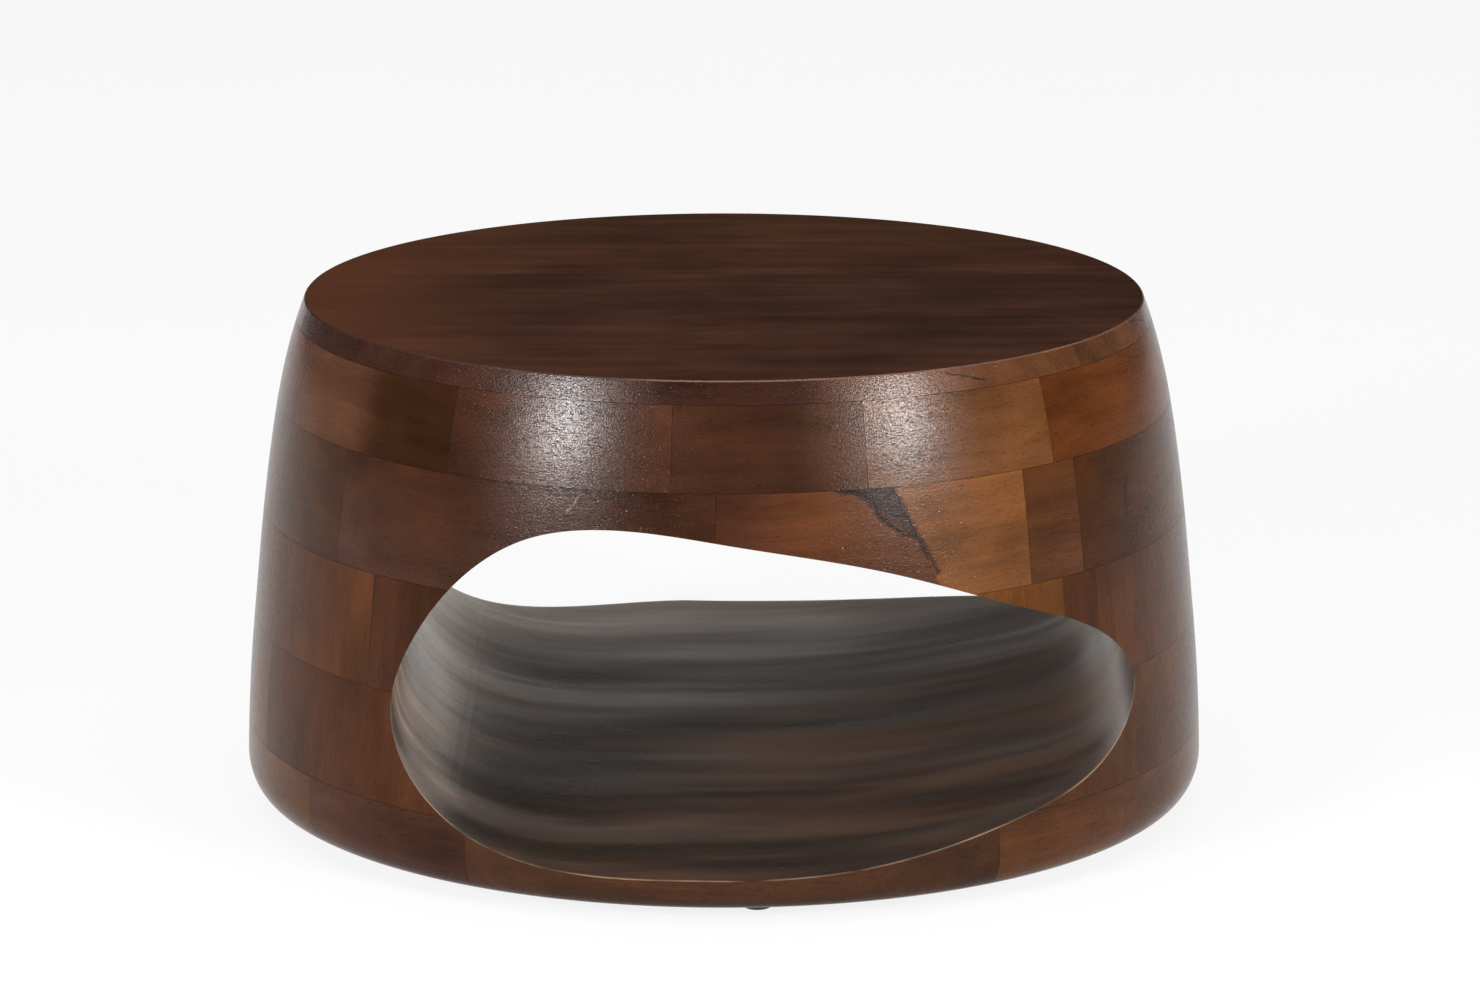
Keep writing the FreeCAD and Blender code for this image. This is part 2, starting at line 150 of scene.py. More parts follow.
def wood_patterns(tree, place, grain, azimuth, seed):
    """The coordinates turned to one block, and its clouds, bands, fibres and pores."""
    turned = add(tree, "ShaderNodeMapping", {
        "Vector": place, "Rotation": (0, 0, math.radians(-azimuth)),
        "Location": [shift * seed for shift in SEED_SHIFT]})
    sway = add(tree, "ShaderNodeTexNoise", {
        "Vector": turned, "Scale": 1 / SWAY_LENGTH, "Detail": 1.0}, out="Color")
    sway = add(tree, "ShaderNodeVectorMath", {0: sway, 1: (-0.5, -0.5, -0.5)}, operation="ADD")
    sway = add(tree, "ShaderNodeVectorMath", {0: sway, "Scale": SWAY}, operation="SCALE")
    swayed = add(tree, "ShaderNodeVectorMath", {0: turned, 1: sway}, operation="ADD")
    banded = add(tree, "ShaderNodeVectorMath", {0: swayed, 1: stretch(grain, 0.1)}, operation="MULTIPLY")
    fine = add(tree, "ShaderNodeVectorMath", {0: swayed, 1: stretch(grain, 0.04)}, operation="MULTIPLY")
    ticked = add(tree, "ShaderNodeVectorMath", {0: swayed, 1: stretch(grain, 0.14)}, operation="MULTIPLY")
    cloud = add(tree, "ShaderNodeTexNoise", {
        "Vector": turned, "Scale": 1 / CLOUD, "Detail": 3.0, "Roughness": 0.55})
    band = add(tree, "ShaderNodeTexNoise", {
        "Vector": banded, "Scale": 1 / BAND, "Detail": 3.0, "Roughness": 0.6})
    fibre = add(tree, "ShaderNodeTexNoise", {"Vector": fine, "Scale": 1 / FIBRE, "Detail": 2.0})
    pore = add(tree, "ShaderNodeTexNoise", {"Vector": ticked, "Scale": 1 / PORE, "Detail": 0.0})
    pore = add(tree, "ShaderNodeMapRange", {"Value": pore, "From Min": 0.64, "From Max": 0.76})
    return turned, cloud, band, fibre, pore

# %% [markdown]
# The wood is finished with a satin lacquer, sprayed on and rubbed. Its slight orange peel breaks up the
# highlights into a fine sparkle. Peel that is only a bump fades at this distance, so it changes the gloss
# as well.

# %% Finish of the blocks
PEEL, RELIEF = 1.3 * MM, 0.18 * MM


def stained_wood(name, tone, grain, azimuth=0.0, seed=0.0, specular=0.2, roughness=0.2, depth=1.0, marks=()):
    """Stained, lacquered wood of one tone, with its marks. A depth below 1 makes pores and peel fainter."""
    material, tree, shader = new_material(name, specular)
    place = add(tree, "ShaderNodeTexCoord", out="Object")
    turned, cloud, band, fibre, pore = wood_patterns(tree, place, grain, azimuth, seed)
    colour = add(tree, "ShaderNodeMath", {0: cloud, 1: 0.5, 2: 0.0}, operation="MULTIPLY_ADD")
    colour = add(tree, "ShaderNodeMath", {0: band, 1: 0.38, 2: colour}, operation="MULTIPLY_ADD")
    colour = add(tree, "ShaderNodeMath", {0: fibre, 1: 0.12, 2: colour}, operation="MULTIPLY_ADD")
    middle = linear(tone)
    colour = add(tree, "ShaderNodeValToRGB", {"Fac": colour}, stops=[
        (0.34, shade(middle, 0.5)), (0.5, shade(middle, 0.95)), (0.66, shade(middle, 1.5))])
    darkened = add(tree, "ShaderNodeMath", {0: pore, 1: 0.45 * depth}, operation="MULTIPLY")
    colour = add(tree, "ShaderNodeMix", {
        0: darkened, 6: colour, 7: shade(middle, 0.25)}, out=2, data_type="RGBA")
    for mark in marks:
        colour = mark(tree, place, colour)
    tree.links.new(colour, shader.inputs["Base Color"])
    rough = add(tree, "ShaderNodeMath", {0: cloud, 1: 0.12, 2: roughness - 0.06}, operation="MULTIPLY_ADD")
    tree.links.new(rough, shader.inputs["Roughness"])
    peel = add(tree, "ShaderNodeTexNoise", {
        "Vector": turned, "Scale": 1 / PEEL, "Detail": 1.0, "Roughness": 0.6})
    gloss = add(tree, "ShaderNodeMapRange", {
        "Value": peel, "From Min": 0.35, "From Max": 0.65,
        "To Min": 0.4 * specular, "To Max": 1.6 * specular})
    tree.links.new(gloss, shader.inputs["Specular IOR Level"])
    height = add(tree, "ShaderNodeMath", {0: pore, 1: -0.9, 2: peel}, operation="MULTIPLY_ADD")
    height = add(tree, "ShaderNodeMath", {0: fibre, 1: 0.3, 2: height}, operation="MULTIPLY_ADD")
    bump = add(tree, "ShaderNodeBump", {"Height": height, "Strength": 0.8 * depth, "Distance": RELIEF})
    tree.links.new(bump, shader.inputs["Normal"])
    return material

# %% [markdown]
# The tunnel was carved and sanded after the blocks were glued, then stained nearly black and rubbed, so
# its finish runs across the joints. The tools left soft streaks that go round the tunnel like hoops, with
# a few small pits. Its pattern is therefore squeezed along Y, the way through the tunnel. The upright
# walls are paler than the floor. Part of this is stain that is drier there than on the floor, where it
# could settle, and part is painted sheen and painted light. The left wall is paler than the right, where
# the light from the right falls on it. The border between the two follows the streaks. Along the lip of
# each mouth a pale band, broken into patches, is a painted highlight of the edge. The distance to the lip
# is stored on the mesh for that.

# %% Patterns of the tunnel
HOOP, BREADTH, RUST, PIT = 28 * MM, 80 * MM, 130 * MM, 2.2 * MM
LIP_HIGHLIGHT_FULL, LIP_HIGHLIGHT_WIDTH, LIP_HIGHLIGHT_PATCH = 2 * MM, 4.5 * MM, 60 * MM
RIGHT_WALL_SHEEN_SHARE = 0.45        # how much of the paleness and painted sheen the right wall gets, against the left one


def wall_paleness_and_sheen(tree, cloud):
    """How pale a place in the tunnel is painted: the upright walls, the left one most, as drier stain with
    painted sheen and painted light.
    """
    facing = add(tree, "ShaderNodeNewGeometry", out="True Normal")
    facing = add(tree, "ShaderNodeSeparateXYZ", {"Vector": facing})
    right = add(tree, "ShaderNodeMath", {0: facing, 1: -RIGHT_WALL_SHEEN_SHARE}, operation="MULTIPLY")
    pale_and_sheen_share = add(tree, "ShaderNodeMath", {0: facing, 1: right}, operation="MAXIMUM")
    pale_and_sheen_share = add(tree, "ShaderNodeMath", {0: cloud, 1: 0.7, 2: pale_and_sheen_share}, operation="MULTIPLY_ADD")
    return add(tree, "ShaderNodeMapRange", {"Value": pale_and_sheen_share, "From Min": 0.83, "From Max": 1.25})


def painted_lip_highlight(tree, place):
    """Where a painted highlight of the edge lies along a lip, broken into patches."""
    lip_highlight_share = add(tree, "ShaderNodeAttribute", out="Fac", attribute_name="mouth_distance")
    lip_highlight_share = add(tree, "ShaderNodeMapRange", {
        "Value": lip_highlight_share, "From Min": LIP_HIGHLIGHT_FULL, "From Max": LIP_HIGHLIGHT_WIDTH, "To Min": 1.0, "To Max": 0.0})
    highlight_patches = add(tree, "ShaderNodeTexNoise", {"Vector": place, "Scale": 1 / LIP_HIGHLIGHT_PATCH, "Detail": 3.0})
    highlight_patches = add(tree, "ShaderNodeMapRange", {"Value": highlight_patches, "From Min": 0.35, "From Max": 0.6})
    return add(tree, "ShaderNodeMath", {0: lip_highlight_share, 1: highlight_patches}, operation="MULTIPLY")

# %% Finish of the tunnel
def carved_wood(name):
    """Carved wood under a rubbed, nearly black stain: dark on the floor, paler on the walls with painted
    sheen, and a painted highlight along the lips.
    """
    material, tree, shader = new_material(name, 0.2)
    place = add(tree, "ShaderNodeTexCoord", out="Object")
    hooped = add(tree, "ShaderNodeVectorMath", {0: place, 1: (0.12, 1.0, 0.14)}, operation="MULTIPLY")
    broad = add(tree, "ShaderNodeVectorMath", {0: place, 1: (0.3, 1.0, 0.35)}, operation="MULTIPLY")
    streak = add(tree, "ShaderNodeTexNoise", {
        "Vector": hooped, "Scale": 1 / HOOP, "Detail": 2.0, "Roughness": 0.4})
    cloud = add(tree, "ShaderNodeTexNoise", {"Vector": broad, "Scale": 1 / BREADTH, "Detail": 4.0})
    ticked = add(tree, "ShaderNodeVectorMath", {0: place, 1: (0.3, 1.0, 0.4)}, operation="MULTIPLY")
    ticked = add(tree, "ShaderNodeMapping", {"Vector": ticked, "Rotation": (0.6, 0.5, 0.7)})
    pit = add(tree, "ShaderNodeTexNoise", {"Vector": ticked, "Scale": 1 / PIT, "Detail": 0.0})
    pit = add(tree, "ShaderNodeMapRange", {"Value": pit, "From Min": 0.77, "From Max": 0.82})
    mixed = add(tree, "ShaderNodeMath", {0: streak, 1: 0.3, 2: 0.0}, operation="MULTIPLY_ADD")
    mixed = add(tree, "ShaderNodeMath", {0: cloud, 1: 0.7, 2: mixed}, operation="MULTIPLY_ADD")
    dark = add(tree, "ShaderNodeValToRGB", {"Fac": mixed}, stops=[
        (0.39, linear("#170c06")), (0.5, linear("#29180d")), (0.62, linear("#4c3423"))])
    rusty = add(tree, "ShaderNodeTexNoise", {"Vector": broad, "Scale": 1 / RUST, "Detail": 2.0})
    rusty = add(tree, "ShaderNodeMapRange", {
        "Value": rusty, "From Min": 0.48, "From Max": 0.66, "To Max": 0.6})
    dark = add(tree, "ShaderNodeMix", {0: rusty, 6: dark, 7: linear("#442413")}, out=2, data_type="RGBA")
    # pale ramp for the walls: drier stain together with painted sheen and painted light
    dry_stain_and_sheen = add(tree, "ShaderNodeValToRGB", {"Fac": mixed}, stops=[
        (0.36, linear("#3a2b21")), (0.5, linear("#8a7463")), (0.62, linear("#d3bba5"))])
    pale_and_sheen_share = wall_paleness_and_sheen(tree, cloud)
    colour = add(tree, "ShaderNodeMix", {0: pale_and_sheen_share, 6: dark, 7: dry_stain_and_sheen}, out=2, data_type="RGBA")
    colour = add(tree, "ShaderNodeMix", {0: pit, 6: colour, 7: linear("#0d0a09")}, out=2, data_type="RGBA")
    # painted highlight: a pale band along the lip of each mouth, in patches
    lip_highlight_share = painted_lip_highlight(tree, place)
    colour = add(tree, "ShaderNodeMix", {0: lip_highlight_share, 6: colour, 7: linear("#a88a70")}, out=2, data_type="RGBA")
    tree.links.new(colour, shader.inputs["Base Color"])
    rough = add(tree, "ShaderNodeMath", {0: mixed, 1: 0.34, 2: 0.13}, operation="MULTIPLY_ADD")
    tree.links.new(rough, shader.inputs["Roughness"])
    height = add(tree, "ShaderNodeMath", {0: pit, 1: -0.4, 2: streak}, operation="MULTIPLY_ADD")
    bump = add(tree, "ShaderNodeBump", {"Height": height, "Strength": 0.35, "Distance": 1.0 * MM})
    tree.links.new(bump, shader.inputs["Normal"])
    return material


tunnel_finish = carved_wood("charcoal_stain_carved_acacia_painted_sheen")
print("tunnel streaks", HOOP / MM, "mm wide")

# %% [markdown]
# Each block is copied from its CAD node. The CAD mesh is loose triangles, so the copy is merged first.
# Its faces are then sorted into outside, tunnel, top, arris and glued joint, by the course that the block
# belongs to and by the way that each face looks. In the base and the floor planks the tunnel's faces look
# up, and in the arch and the roof core they look down. In the flanks they are whatever is neither level,
# nor turned outside, nor an upright joint. The joints between the boards of the top are upright too.
# Numbers that a normal is compared with are cosines.

# %% Kinds of face
OUTSIDE, CARVED, TOP, JOINT, ARRIS = 0, 1, 2, 3, 4
COURSE_HEIGHTS = [height * MM for height in (12, 76, 176, 276, 376, 449, 469)]
LEVEL_WITHIN, FOOT_ROUNDING = 0.4 * MM, 45 * MM


def face_kind(course, centre, normal):
    """Which kind of surface a face is, from its course, its place and the way it looks."""
    outward = normal.dot(Vector((centre.x, centre.y, 0)).normalized())
    to_course = min(abs(centre.z - height) for height in COURSE_HEIGHTS)
    if abs(normal.z) > 0.999 and to_course < LEVEL_WITHIN:
        return TOP if course == "top" and normal.z > 0 else JOINT
    if course in ("base", "floor") and normal.z > 0.3 or course in ("arch", "roof") and normal.z < -0.5:
        return CARVED
    if course in ("roof", "floor") or course == "top" and abs(normal.z) < 0.01:
        return JOINT
    if course == "top" and 0.6 < normal.z < 0.9:
        return ARRIS
    if outward > 0.6 or centre.z < FOOT_ROUNDING and outward > 0.1:
        return OUTSIDE
    if course in ("upper", "lower") and (abs(outward) > 0.02 or abs(normal.z) > 0.002):
        return CARVED
    return JOINT


print("course heights in mm:", [round(height / MM) for height in COURSE_HEIGHTS])

# %% [markdown]
# The shading normals come from the CAD surface itself, read through a search tree for each kind of face,
# so that the turned side and the tunnel stay perfectly smooth right up to their edges.

# %% Normals of the CAD surface
def cad_normal_finder(node, course):
    """Gives a function from a point on the node's surface to the CAD surface's own normal there."""
    mesh = node.data
    corners = [corner.vector.copy() for corner in mesh.corner_normals]
    points = [vertex.co for vertex in mesh.vertices]
    sorted_faces = {}
    for polygon in mesh.polygons:
        sorted_faces.setdefault(face_kind(course, polygon.center, polygon.normal), []).append(polygon)
    trees = {kind: BVHTree.FromPolygons(points, [tuple(p.vertices) for p in polygons])
             for kind, polygons in sorted_faces.items()}

    def find(point, kind):
        spot, _, index, _ = trees[kind].find_nearest(point)
        polygon = sorted_faces[kind][index]
        a, b, c = (points[v] for v in polygon.vertices)
        na, nb, nc = (corners[i] for i in polygon.loop_indices)
        area = (b - a).cross(c - a).length or 1.0
        u = (b - spot).cross(c - spot).length / area
        v = (c - spot).cross(a - spot).length / area
        return (na * u + nb * v + nc * max(0.0, 1 - u - v)).normalized()

    return find

# %% [markdown]
# A glue line is 0.3 mm wide in the CAD model. On the outside it shows, as it does on the real drum. In
# the tunnel the joints were filled and sanded over, so there the edge of each block slides out over half
# of the glue line and just meets its neighbour. Where the tunnel runs almost along a joint, an edge would
# have to slide too far, so it stays.

# %% Filled joints
FILLED, GRAZING, SAME_WAY = 0.152 * MM, 0.08, 0.99


def fill_tunnel_joints(surface):
    """Slides the tunnel's edges along its surface, out over the glued joints beside them."""
    slides = {}
    for vert, normal in surface.items():
        sides = []
        for face in vert.link_faces:
            if face.material_index == JOINT and all(face.normal.dot(side) < SAME_WAY for side in sides):
                sides.append(face.normal.copy())
        for side in sides:
            along = side - normal * side.dot(normal)
            if along.length > GRAZING:
                slides.setdefault(vert, []).append(along / along.length_squared)
    for vert, steps in slides.items():
        vert.co += sum(steps, Vector()) * FILLED


print("filled joints reach out by", round(FILLED / MM, 3), "mm")

# %% [markdown]
# The drum bulges everywhere, so its outline is the hull of its corners, and those of the tunnel lie
# within it. The outline tells how far each place in the tunnel is from a mouth.

# %% Outline of the drum
widest = {}
for name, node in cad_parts.items():
    if name.split("_")[0] in ("rim", "arch", "upper", "lower", "base"):
        for vertex in node.data.vertices:
            level = round(vertex.co.z, 4)
            widest[level] = max(widest.get(level, 0.0), vertex.co.xy.length)


def bends_in(first, middle, last):
    """Whether the middle corner lies inside the line between the other two."""
    return (middle[1] - first[1]) * (last[0] - first[0]) <= (last[1] - first[1]) * (middle[0] - first[0])


outline = []
for corner in sorted(widest.items()):
    while len(outline) > 1 and bends_in(outline[-2], outline[-1], corner):
        outline.pop()
    outline.append(corner)
levels = [level for level, radius in outline]


def drum_radius(height):
    """Outer radius of the drum at a height above the floor."""
    index = min(max(bisect(levels, height), 1), len(levels) - 1)
    (low, below), (high, above) = outline[index - 1], outline[index]
    return below + (above - below) * (height - low) / (high - low)


def mouth_distance(point):
    """How far a place in the tunnel is from the outside of the drum."""
    return max(0.0, drum_radius(point.z) - point.xy.length)


print("corners of the outline:", len(outline), "of", len(widest))
print("widest in mm:", round(2 * max(radius for level, radius in outline) / MM, 1))

# %% [markdown]
# A tunnel that was hollowed out by hand with a gouge is never quite true. Shallow waves go round it like
# hoops, a few centimetres apart, and light rolls off them in soft bands. Bump alone looks painted on at
# this low angle, so the waves are real: the tunnel's faces are cut into rings, and each ring is raised or
# lowered by smooth noise that depends only on the place, so that neighbouring blocks still meet. The
# waves fade out towards the mouths.

# %% Gouge waves
WAVE_HEIGHT, RING_WIDTH, FADE, NUDGE = 1.5 * MM, 9 * MM, 60 * MM, 1.0 * MM
# each ripple has a share of the height, its noise scale along X, Y and Z, and a shift that sets it apart
RIPPLES = ((1.0, (3.6, 8.0, 4.0), 3.0), (0.4, (6.0, 17.0, 6.0), 5.0), (0.07, (8.0, 37.0, 9.0), 8.0))


def wave(point):
    """How far the gouge left the wood above the true surface."""
    depth = min(1.0, mouth_distance(point) / FADE)
    height = sum(share * noise.noise(Vector((point.x * x, point.y * y, point.z * z + shift)))
                 for share, (x, y, z), shift in RIPPLES)
    return WAVE_HEIGHT * height * depth * depth * (3 - 2 * depth)


def wave_slope(point):
    """How steeply the waves rise along X, Y and Z."""
    here = wave(point)
    return Vector([(wave(point + axis * NUDGE) - here) / NUDGE
                   for axis in (Vector((1, 0, 0)), Vector((0, 1, 0)), Vector((0, 0, 1)))])


def cut_rings(bm):
    """Cuts the tunnel's faces into rings, square to the way through."""
    carved = [vert.co.y for face in bm.faces if face.material_index == CARVED for vert in face.verts]
    if not carved:
        return
    for ring in range(math.ceil(min(carved) / RING_WIDTH), math.floor(max(carved) / RING_WIDTH) + 1):
        faces = [face for face in bm.faces if face.material_index == CARVED]
        edges = {edge for face in faces for edge in face.edges}
        verts = {vert for face in faces for vert in face.verts}
        bmesh.ops.bisect_plane(bm, geom=faces + list(edges) + list(verts), dist=0.01 * MM,
                               plane_co=(0, ring * RING_WIDTH, 0), plane_no=(0, 1, 0))


print("rings across the tunnel:", RING_WIDTH / MM, "mm apart")

# %% A block with its finish
MERGED_WITHIN = 0.002 * MM


def finished_block(node_name, materials):
    """A merged copy of a CAD node with a finish for each kind of face, riding on the drum in its place."""
    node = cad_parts[node_name]
    course = node_name.split("_")[0]
    find = cad_normal_finder(node, course)
    bm = bmesh.new()
    bm.from_mesh(node.data)
    bmesh.ops.remove_doubles(bm, verts=bm.verts, dist=MERGED_WITHIN)
    for face in bm.faces:
        face.smooth = True
        face.material_index = face_kind(course, face.calc_center_median(), face.normal)
    cut_rings(bm)
    normals, surface = [], {}      # a normal for each corner in turn, and one for each tunnel vertex
    depths = bm.verts.layers.float.new("mouth_distance")
    for face in bm.faces:
        for vert in face.verts:
            normal = face.normal if face.material_index == JOINT else find(vert.co, face.material_index)
            if face.material_index == CARVED:
                surface.setdefault(vert, normal)
                slope = wave_slope(vert.co)
                normal = (normal - slope + normal * slope.dot(normal)).normalized()
            normals.append(normal)
    fill_tunnel_joints(surface)
    for vert, normal in surface.items():
        vert[depths] = mouth_distance(vert.co)
        vert.co += normal * wave(vert.co)
    mesh = bpy.data.meshes.new(f"{node_name}_finished")
    for material in materials:
        mesh.materials.append(material)
    bm.to_mesh(mesh)
    bm.free()
    mesh.normals_split_custom_set(normals)
    piece = bpy.data.objects.new(mesh.name, mesh)
    bpy.context.scene.collection.objects.link(piece)
    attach(piece, "drum")
    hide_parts(node_name)
    return piece

# %% [markdown]
# Real acacia has knots, cracks and chips, and a maker who wants a rustic table leaves them in. Each mark
# is a line through a few places on the side of the drum, or a patch on one side of such a line. Places
# are given as degrees round from the front and millimetres above the floor. The side is unrolled into a
# flat sheet for that, with a little noise so that the marks wander.

# %% Places on the side
GIRTH = 430 * MM           # radius at which the side is unrolled
WANDER_SIZE, WANDER = 9 * MM, 7 * MM


def side_spot(azimuth, height):
    """The unrolled place of an azimuth in degrees and a height in millimetres."""
    return Vector((math.radians(azimuth) * GIRTH, 0, height * MM))


def unrolled(tree, place):
    """The place on the side of the drum, as a flat sheet of arc and height that wanders a little."""
    parts = add(tree, "ShaderNodeSeparateXYZ", {"Vector": place}).node.outputs
    away = add(tree, "ShaderNodeMath", {0: parts["Y"], 1: -1.0}, operation="MULTIPLY")
    arc = add(tree, "ShaderNodeMath", {0: parts["X"], 1: away}, operation="ARCTAN2")
    arc = add(tree, "ShaderNodeMath", {0: arc, 1: GIRTH}, operation="MULTIPLY")
    flat = add(tree, "ShaderNodeCombineXYZ", {"X": arc, "Z": parts["Z"]})
    jitter = add(tree, "ShaderNodeTexNoise", {
        "Vector": place, "Scale": 1 / WANDER_SIZE, "Detail": 3.0}, out="Color")
    jitter = add(tree, "ShaderNodeVectorMath", {0: jitter, 1: (-0.5, -0.5, -0.5)}, operation="ADD")
    jitter = add(tree, "ShaderNodeVectorMath", {0: jitter, "Scale": WANDER}, operation="SCALE")
    return add(tree, "ShaderNodeVectorMath", {0: flat, 1: jitter}, operation="ADD")

# %% Kinds of mark
def line_mark(spots, width, hex_colour, strength=1.0):
    """A dark or pale line through the spots, soft over its width in millimetres."""
    def draw(tree, place, colour):
        flat = unrolled(tree, place)
        near = None
        for start, end in zip(spots, spots[1:]):
            start, along = side_spot(*start), side_spot(*end) - side_spot(*start)
            offset = add(tree, "ShaderNodeVectorMath", {0: flat, 1: -start}, operation="ADD")
            share = add(tree, "ShaderNodeVectorMath", {
                0: offset, 1: along / along.length_squared}, out="Value", operation="DOT_PRODUCT")
            share = add(tree, "ShaderNodeClamp", {"Value": share})
            foot = add(tree, "ShaderNodeVectorMath", {0: along, "Scale": share}, operation="SCALE")
            away = add(tree, "ShaderNodeVectorMath", {
                0: offset, 1: foot}, out="Value", operation="DISTANCE")
            near = away if near is None else add(tree, "ShaderNodeMath", {
                0: near, 1: away}, operation="MINIMUM")
        there = add(tree, "ShaderNodeMapRange", {
            "Value": near, "From Min": 0.0, "From Max": width * MM, "To Min": strength, "To Max": 0.0},
            interpolation_type="SMOOTHSTEP")
        return add(tree, "ShaderNodeMix", {
            0: there, 6: colour, 7: linear(hex_colour)}, out=2, data_type="RGBA")
    return draw


def patch_mark(start, end, fade, tone, new_tone, strength=1.0):
    """Tints wood of one tone towards another, to the left of a line seen from its start, over a fade."""
    along = (side_spot(*end) - side_spot(*start)).normalized()
    across = Vector((-along.z, 0, along.x))
    tint = [new / old for new, old in zip(linear(new_tone)[:3], linear(tone)[:3])]

    def draw(tree, place, colour):
        flat = unrolled(tree, place)
        offset = add(tree, "ShaderNodeVectorMath", {0: flat, 1: -side_spot(*start)}, operation="ADD")
        side = add(tree, "ShaderNodeVectorMath", {
            0: offset, 1: across}, out="Value", operation="DOT_PRODUCT")
        there = add(tree, "ShaderNodeMapRange", {
            "Value": side, "From Min": 0.0, "From Max": fade * MM, "To Min": 0.0, "To Max": strength},
            interpolation_type="SMOOTHSTEP")
        tinted = add(tree, "ShaderNodeVectorMath", {0: colour, 1: tint}, operation="MULTIPLY")
        return add(tree, "ShaderNodeMix", {0: there, 6: colour, 7: tinted}, out=2, data_type="RGBA")
    return draw

# %% [markdown]
# The slanted joint in the arch has opened into a crack, and beside it is the dark rim of a knot. Along
# the foot of the rim a few chips are missing. Some blocks are darker or lighter at one end, where the
# plank was. The lighter right end of the second rim block is a painted highlight, and the lighter far
# left of the last rim block is a painted sheen.

# %% Marks in the wood
BLACKENED, CRACK = "#1c100a", "#20120b"
KNOT_EDGE = [(13.8, 376), (16.3, 374), (18.1, 365.5), (18.8, 351.5), (21.6, 336), (24.5, 330)]
SLANT = line_mark([(20.5, 376), (25.8, 300)], 5.0, CRACK, 0.85)
LEFT_EDGE = patch_mark((18.0, 449), (18.0, 469), 70, "#51301b", "#331c13")
MARKS = {
    "arch_block_1": [line_mark([(-17.0, 375), (-19.0, 355)], 1.6, "#8a7263", 0.5),
                     line_mark([(-30.0, 376), (-24.0, 375.5)], 2.6, BLACKENED, 0.85),
                     line_mark([(-22.0, 375), (-16.5, 375.5)], 5.0, BLACKENED, 0.95)],
    "arch_block_2": [patch_mark((13.0, 290), (11.0, 376), 70, "#4a2914", "#3b2014"),
                     patch_mark((14.7, 373), (23.5, 327), 6, "#4a2914", "#20150f", 0.95),
                     line_mark(KNOT_EDGE, 5.0, BLACKENED, 1.0),
                     line_mark([(13.8, 376), (21.0, 376)], 5.0, BLACKENED, 0.85),
                     SLANT],
    "arch_block_3": [SLANT],
    "arch_block_5": [line_mark([(58.8, 345), (57.8, 309)], 5.0, "#23140c", 0.8)],
    "rim_block_1": [line_mark([(-1.5, 377), (0.2, 377)], 2.0, "#8f7258", 0.6)],
    # painted highlight: the right end of this block is lightened under the right-hand highlight
    "rim_block_2": [patch_mark((8.0, 449), (8.0, 376), 60, "#301a0f", "#4a2d1b")],
    # painted sheen: the far left of this block is lightened where its side turns away from the camera
    "rim_block_11": [patch_mark((-48.0, 376), (-48.0, 449), 50, "#321c0f", "#4a2f20")],
    "top_board_1": [LEFT_EDGE, line_mark([(29.2, 465), (32.0, 461.5), (35.4, 456)], 1.8, "#160d08", 0.9)],
    "top_board_2": [LEFT_EDGE],
}
print("blocks with marks:", len(MARKS))

# %% [markdown]
# Every block came from another plank, so each has its own tone and its own stretch of grain. The tones
# are given for the blocks in turn, round each course. The rim, the arch and the base have their grain
# running round the drum, and the flanks beside the tunnel have theirs upright. The rim and the arch were
# polished to a gloss where they face forward, and the rest is satin. The glued faces soaked up stain, and
# look dark in the glue lines. The lists of joints for the flanks begin and end at the front mouth.

# %% Tones of the blocks
RIM_AZIMUTHS = [-35.8, -6.4, 17.5, 44.4, 79.4, 114.4, 149.3, 184.3, 219.3, 254.3, 289.2, 324.2]
ARCH_AZIMUTHS = [-53.6, -1.0, 23.7, 39.0, 48.0, 99.7, 151.4, 203.1, 254.8, 306.4]
BASE_AZIMUTHS = [-56.6, -30.5, 32.8, 53.7, 116.0, 160.0, 210.0, 256.0, 303.4]
UPPER_AZIMUTHS = [25.0, 44.1, 50.1, 98.0, 155.0, 205.0, 263.0, 314.0, 335.0]
LOWER_AZIMUTHS = [30.0, 95.0, 160.0, 200.0, 246.0, 290.0, 335.0]
# for each course: azimuths of its joints, grain, gloss, and the tones, with None at the rear mouth
COURSES = {
    "rim_block": (RIM_AZIMUTHS, ALONG_X, 0.2, [
        "#3c2114", "#301a0f", "#5b371c", "#542c13", "#472714", "#4b2b18", "#5e381e", "#4c2c19", "#54301b",
        "#492917", "#321c0f"]),
    "arch_block": (ARCH_AZIMUTHS, ALONG_X, 0.18, [
        "#371e11", "#4a2914", "#683f1f", "#4a2912", "#3a1f0c", "#56341d", "#472917", "#5b3820", "#3c2415"]),
    "upper_side_block": (UPPER_AZIMUTHS, ALONG_Z, 0.08, [
        "#553114", "#432411", "#452613", "#523016", None, "#482914", "#482813", "#361d0f"]),
    "lower_side_block": (LOWER_AZIMUTHS, ALONG_Z, 0.07, [
        "#432714", "#4d2d18", None, "#462713", "#4b2b17", "#3d2110"]),
    "base_block": (BASE_AZIMUTHS, ALONG_X, 0.08, [
        "#3c2216", "#3a2315", "#482a16", "#4a2b16", "#4a2b17", "#54321b", "#462715", "#472a17"]),
}
POLISHED_TO, FRONT = 44, 90       # azimuths in degrees
SATIN = 0.09                      # most specular level that a satin block has
soaked = stained_wood("stain_soaked_acacia_joint", "#20130c", ALONG_X, seed=90, specular=0.03, roughness=0.7)

